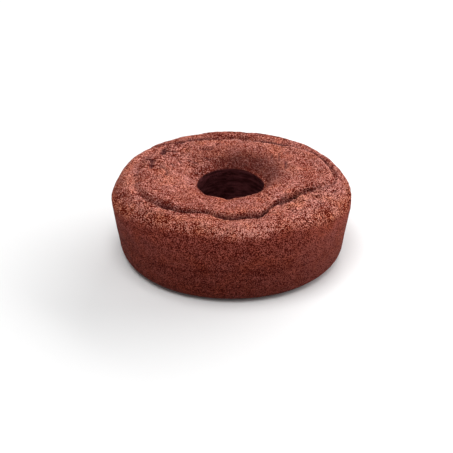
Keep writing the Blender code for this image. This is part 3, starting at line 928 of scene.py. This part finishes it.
class Nodes:
    """Short hand for building a material's node tree."""

    def __init__(self, material):
        material.use_nodes = True
        self.tree = material.node_tree
        self.shader = self.tree.nodes["Principled BSDF"]
        self.place = self.add("ShaderNodeTexCoord").outputs["Object"]

    def add(self, kind, **settings):
        """Add a node. Settings that name an input set or link it, and others set the node."""
        node = self.tree.nodes.new(kind)
        for name, value in settings.items():
            if name.startswith("in_"):
                self.put(node.inputs[name[3:].replace("_", " ")], value)
            else:
                setattr(node, name, value)
        return node

    def put(self, socket, value):
        """Link a socket to the value if that is a socket too, or set it to the value."""
        if isinstance(value, bpy.types.NodeSocket):
            self.tree.links.new(value, socket)
        else:
            socket.default_value = value

    def attribute(self, name):
        """What the mesh holds under a name."""
        return self.add("ShaderNodeAttribute", attribute_name=name).outputs["Fac"]

    def math(self, operation, a, b=0.0, c=0.0, clamp=False):
        """The result of an operation on up to three values, each a number or a socket."""
        node = self.add("ShaderNodeMath", operation=operation, use_clamp=clamp)
        for socket, value in zip(node.inputs, (a, b, c)):
            self.put(socket, value)
        return node.outputs[0]

    def times(self, value, factor, plus=0.0, clamp=False):
        """value * factor + plus."""
        return self.math("MULTIPLY_ADD", value, factor, plus, clamp)

    def noise(self, size, detail=2.0, roughness=0.5, w=0.0):
        """Noise whose features are about the given size, from 0 to 1."""
        node = self.add("ShaderNodeTexNoise", noise_dimensions="4D", in_Scale=1 / size, in_Detail=detail,
                        in_Roughness=roughness, in_W=w, in_Vector=self.place)
        return node.outputs["Fac"]

    def streaks(self, size, squash):
        """Noise drawn out sideways, from 0 to 1: the mottling of the side and of the hole's wall."""
        flat = self.add("ShaderNodeVectorMath", operation="MULTIPLY")
        self.put(flat.inputs[0], self.place)
        self.put(flat.inputs[1], (1.0, 1.0, squash))
        node = self.add("ShaderNodeTexNoise", in_Scale=1 / size, in_Detail=3.0,
                        in_Vector=flat.outputs["Vector"])
        return node.outputs["Fac"]

    def in_patches(self, line, size, share, w):
        """Keep the lines of a pattern in the given share of the surface, and clear the rest."""
        patch = self.noise(LINE_PATCH * size, detail=0.0, w=w + LINE_PATCH_APART)
        start = LINE_PATCH_EDGE * (share - 1.0) + 0.5
        return self.math("MULTIPLY", line, self.times(patch, LINE_PATCH_EDGE, start, clamp=True))

    def strokes(self, size, width, share, w):
        """Short thin curved lines: 1 along them, and 0 elsewhere."""
        away = self.math("SUBTRACT", self.noise(size, detail=1.0, w=w), 0.5)
        line = self.times(self.math("ABSOLUTE", away), -1 / width, 1.0, clamp=True)
        return self.in_patches(line, size, share, w)

    def crackle(self, size, width, share, w):
        """Thin wandering lines round plates of a given size: 1 along them, and 0 elsewhere."""
        often, far = PLATE_BEND
        wander = self.add("ShaderNodeTexNoise", noise_dimensions="4D", in_Scale=often / size, in_Detail=1.0,
                          in_W=w, in_Vector=self.place)
        moved = self.add("ShaderNodeVectorMath", operation="MULTIPLY_ADD")
        self.put(moved.inputs[0], wander.outputs["Color"])
        self.put(moved.inputs[1], (far * size,) * 3)
        self.put(moved.inputs[2], self.place)
        plates = self.add("ShaderNodeTexVoronoi", feature="DISTANCE_TO_EDGE", in_Scale=1 / size,
                          in_Vector=moved.outputs["Vector"])
        line = self.times(plates.outputs["Distance"], -1 / width, 1.0, clamp=True)
        return self.in_patches(line, size, share, w)

    def ramp(self, factor, stops):
        """Colours along a 0 to 1 factor, as (position, colour) stops."""
        node = self.add("ShaderNodeValToRGB", in_Fac=factor)
        ramp = node.color_ramp
        while len(ramp.elements) < len(stops):
            ramp.elements.new(0.5)
        for element, (position, colour) in zip(ramp.elements, stops):
            element.position = position
            element.color = colour
        return node.outputs["Color"]

    def mix(self, factor, a, b, blend="MIX"):
        """Colour a, covered by colour b as far as the factor says."""
        node = self.add("ShaderNodeMix", data_type="RGBA", blend_type=blend)
        self.put(node.inputs[0], factor)
        self.put(node.inputs[6], a)
        self.put(node.inputs[7], b)
        return node.outputs[2]


def crumb_patterns(n, crust):
    """The patterns that both colour and bump show: grain, dark lines and light lines."""
    grain = n.noise(GRAIN_SIZE, detail=0.0)
    rough = n.noise(ROUGH_SIZE, roughness=0.55, w=6.0)
    rough = n.times(rough, ROUGH_GAIN, ROUGH_START, clamp=True)
    dark_lines = n.crackle(*DARK_LINES)
    dark_lines = n.math("MULTIPLY", dark_lines, n.times(rough, DARK_ROUGH, DARK_SMOOTH))
    dark_lines = n.math("MULTIPLY", dark_lines, n.times(crust, DARK_CRUST, DARK_SIDE))
    return grain, dark_lines, n.strokes(*LIGHT_LINES)


def crumb_tone(n, grain, dark_lines, light_lines):
    """Tone of the crumb, painted light and shade on lumps, pits and cracks, and more contrast where coarse.
    """
    coarse = n.attribute("coarse")
    tone = n.times(grain, GRAIN_TONE, TONE_MIDDLE - GRAIN_TONE / 2)
    tone = n.times(n.noise(PATCH_SIZE), PATCH_TONE, n.math("ADD", tone, -PATCH_TONE / 2))
    # painted light and shade that follow the lumps, pits and fine cracks of the relief
    lumps = n.math("MAXIMUM", n.times(coarse, LUMP_SHADE_TONE, LUMP_START), LUMP_LEAST)
    tone = n.times(n.math("ADD", n.attribute("crumb"), -0.5), lumps, tone)
    tone = n.times(n.attribute("pit"), PIT_SHADE_TONE, tone)
    tone = n.times(n.attribute("fissure"), FISSURE_SHADE_TONE, tone)
    tone = n.times(dark_lines, DARK_TONE, tone)
    tone = n.times(n.crackle(*FINE_LINES), FINE_TONE, tone)
    tone = n.times(light_lines, LIGHT_TONE, tone)
    contrast = n.times(coarse, CONTRAST_COARSE, CONTRAST_FINE)
    return n.times(n.math("SUBTRACT", tone, 0.5), contrast, 0.5)


def place_tone(n, tone, crust):
    """The tone with what changes it from place to place on the cake, painted light and shade too."""
    # dry crust, partly painted light, and a painted highlight on the crack's lip
    tone = n.times(n.attribute("dry"), DRY_AND_HIGHLIGHT_TONE, tone)
    # baked darker, and painted shade on the shoulder
    tone = n.times(n.attribute("singed_and_shaded"), SINGED_AND_SHADED_TONE, tone)
    # painted light and shade on the side and in zones of the top, partly their own tone
    tone = n.math("ADD", tone, n.attribute("pale"))
    away = n.math("ABSOLUTE", n.attribute("level"))
    line = n.times(away, -1 / SIDE_LINE_REACH, 1.0, clamp=True)
    line = n.math("MULTIPLY", line, n.noise(SIDE_LINE_PATCH, detail=1.0, w=5.0))
    tone = n.times(line, SIDE_LINE_TONE, tone)
    mottle = n.times(n.streaks(MOTTLE_SIZE, MOTTLE_SQUASH), MOTTLE_TONE, -MOTTLE_TONE / 2)
    return n.times(mottle, n.math("SUBTRACT", 1.0, crust), tone)


def crust_colour(n, tone, crust):
    """Colours of crust, side and foot for a tone, and painted shade in funnel, cracks and hole."""
    hue = n.times(n.noise(TINT_SIZE), TINT_GAIN, TINT_START)
    hue = n.times(n.attribute("orange"), ORANGE_TINT, hue)
    colour = n.mix(crust, n.ramp(tone, SIDE_STOPS), n.ramp(tone, CRUST_STOPS))
    colour = n.mix(1.0, colour, n.ramp(hue, TINT_STOPS), "MULTIPLY")
    height = n.add("ShaderNodeSeparateXYZ", in_Vector=n.place).outputs["Z"]
    foot = n.times(height, -1 / FOOT_FADE, 1.0, clamp=True)
    colour = n.mix(n.math("MULTIPLY", foot, FOOT_COVER), colour, FOOT_COLOUR)
    # painted shade on the funnel
    colour = n.mix(n.attribute("funnel"), colour, FUNNEL_SHADE_COLOUR)
    # painted shade in the crack, darker still at the bottom of its slot
    split = n.math("MULTIPLY", n.attribute("split"), CRACK_SHADE_COVER, clamp=True)
    colour = n.mix(split, colour, CRACK_SHADE_COLOUR)
    slot = n.math("MULTIPLY", n.attribute("slot"), SLOT_SHADE_COVER, clamp=True)
    colour = n.mix(slot, colour, SLOT_SHADE_COLOUR)
    # painted shade on the hole's wall, with streaks
    streaks = n.ramp(n.streaks(HOLE_STREAK_SIZE, HOLE_SQUASH), HOLE_SHADE_STOPS)
    return n.mix(n.attribute("hole"), colour, streaks)


def crust_material():
    """Baked chocolate sponge: granular and mottled on the crust, finer and darker on the side."""
    material = bpy.data.materials.new("chocolate_crust")
    n = Nodes(material)
    crust = n.attribute("crust")
    grain, dark_lines, light_lines = crumb_patterns(n, crust)
    tone = place_tone(n, crumb_tone(n, grain, dark_lines, light_lines), crust)
    n.put(n.shader.inputs["Base Color"], crust_colour(n, tone, crust))
    n.shader.inputs["Roughness"].default_value = ROUGHNESS
    n.shader.inputs["Specular IOR Level"].default_value = SPECULAR
    height = n.times(light_lines, LIGHT_BUMP, n.times(dark_lines, DARK_BUMP, grain))
    bump = n.add("ShaderNodeBump", in_Strength=1.0, in_Distance=BUMP_DISTANCE, in_Height=height)
    n.put(n.shader.inputs["Normal"], bump.outputs["Normal"])
    return material


def add_floor():
    """A pale matte floor that fills the view."""
    bpy.ops.mesh.primitive_plane_add(size=FLOOR_SIZE)
    floor = bpy.context.object
    floor.name = "floor"
    material = bpy.data.materials.new("pale_floor")
    material.use_nodes = True
    shader = material.node_tree.nodes["Principled BSDF"]
    shader.inputs["Base Color"].default_value = FLOOR_COLOUR
    shader.inputs["Roughness"].default_value = FLOOR_ROUGHNESS
    floor.data.materials.append(material)


def look_at(thing, target):
    """Turn a camera or a light towards a point."""
    thing.rotation_euler = (target - thing.location).to_track_quat("-Z", "Y").to_euler()


def add_camera():
    """The camera, in front of the cake and looking down at it."""
    camera = bpy.data.objects.new("camera", bpy.data.cameras.new("camera"))
    bpy.context.scene.collection.objects.link(camera)
    back = Vector((0.0, -math.cos(CAMERA_ELEVATION), math.sin(CAMERA_ELEVATION)))
    camera.location = CAMERA_TARGET + CAMERA_DISTANCE * back
    look_at(camera, CAMERA_TARGET)
    camera.data.sensor_width = SENSOR_MM
    camera.data.lens = FOCAL_PIXELS * SENSOR_MM / FRAME_PIXELS
    bpy.context.scene.camera = camera


def add_light(name, place, width, height, watts):
    """A rectangular area light, turned to the cake."""
    light = bpy.data.lights.new(name, "AREA")
    light.shape = "RECTANGLE"
    light.size = width
    light.size_y = height
    light.energy = watts
    thing = bpy.data.objects.new(name, light)
    bpy.context.scene.collection.objects.link(thing)
    thing.location = place
    look_at(thing, LIGHT_TARGET)


def add_lighting():
    """Soft light, mostly from the back right, and a weak even light from all round."""
    for name, settings in LIGHTS.items():
        add_light(name, *settings)
    world = bpy.data.worlds.new("studio")
    world.use_nodes = True
    background = world.node_tree.nodes["Background"]
    background.inputs["Color"].default_value = WORLD_COLOUR
    background.inputs["Strength"].default_value = WORLD_STRENGTH
    bpy.context.scene.world = world
    bpy.context.scene.view_settings.view_transform = "Standard"


add_camera()
add_lighting()
add_floor()
cake = cake_piece()
cake.data.materials.append(crust_material())
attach(cake, "root")
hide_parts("cake")
